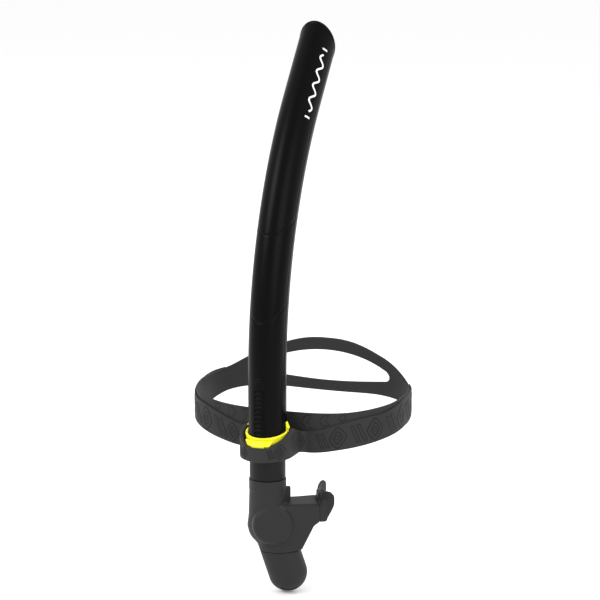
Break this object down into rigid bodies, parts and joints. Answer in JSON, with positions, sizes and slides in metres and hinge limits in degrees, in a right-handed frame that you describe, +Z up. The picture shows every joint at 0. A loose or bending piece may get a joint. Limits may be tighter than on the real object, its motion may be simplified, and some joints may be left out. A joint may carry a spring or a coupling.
{
  "type": "swim snorkel",
  "caption": "Centre swim snorkel: leaning oval tube in a height-adjusting clip on a silicone head strap, with a swivelling mouthpiece, bite flange and purge sump.",
  "frame": {"origin": "centre of the head loop, level with the clip's rim", "axes": "+Z up along the straight foot of the tube, -Y forward away from the face, X from side to side"},
  "size_m": [0.1766, 0.1591, 0.4432],
  "materials": {
    "tube_black": "satin moulded plastic",
    "connector_black": "matt moulded plastic",
    "strap_silicone": "matt moulded silicone",
    "mouth_silicone": "satin moulded silicone",
    "clip_yellow": "glossy moulded plastic",
    "pin_steel": "ground",
    "seal_rubber": "smooth",
    "valve_plastic": "matt"
  },
  "bodies": {
    "headband": {"head_strap": "strap_silicone", "front_band": "strap_silicone", "tube_clip": "clip_yellow", "latch_pin": "pin_steel", "latch_spring": "pin_steel"},
    "latch": {"latch_lever": "clip_yellow"},
    "tube": {"snorkel_tube": "tube_black", "tube_connector": "connector_black", "snap_ring": "valve_plastic", "swivel_seal": "seal_rubber"},
    "mouthpiece": {"mouthpiece_body": "mouth_silicone", "lip_flange": "mouth_silicone", "purge_cover": "mouth_silicone", "purge_seat": "valve_plastic", "swivel_bush": "valve_plastic"},
    "purge_flap": {"purge_membrane": "seal_rubber"}
  },
  "joints": [
    {"name": "tube_slide", "type": "slide", "parent": "headband", "child": "tube", "axis": [0, 0, 1], "range_m": [-0.04, 0.012]},
    {"name": "latch_press", "type": "hinge", "parent": "headband", "child": "latch", "pos_m": [0, -0.0971, -0.0122], "axis": [-1, 0, 0], "range_deg": [0, 6], "stiffness_Nm_per_rad": 0.01, "springref_deg": -5.73},
    {"name": "mouthpiece_swivel", "type": "hinge", "parent": "tube", "child": "mouthpiece", "pos_m": [0, -0.077, -0.045], "axis": [0, 0, 1], "range_deg": [-30, 150]},
    {"name": "purge_lift", "type": "slide", "parent": "mouthpiece", "child": "purge_flap", "axis": [0, 0, -1], "range_m": [0, 0.0012], "stiffness_N_per_m": 40, "springref_m": -0.0004}
  ]
}
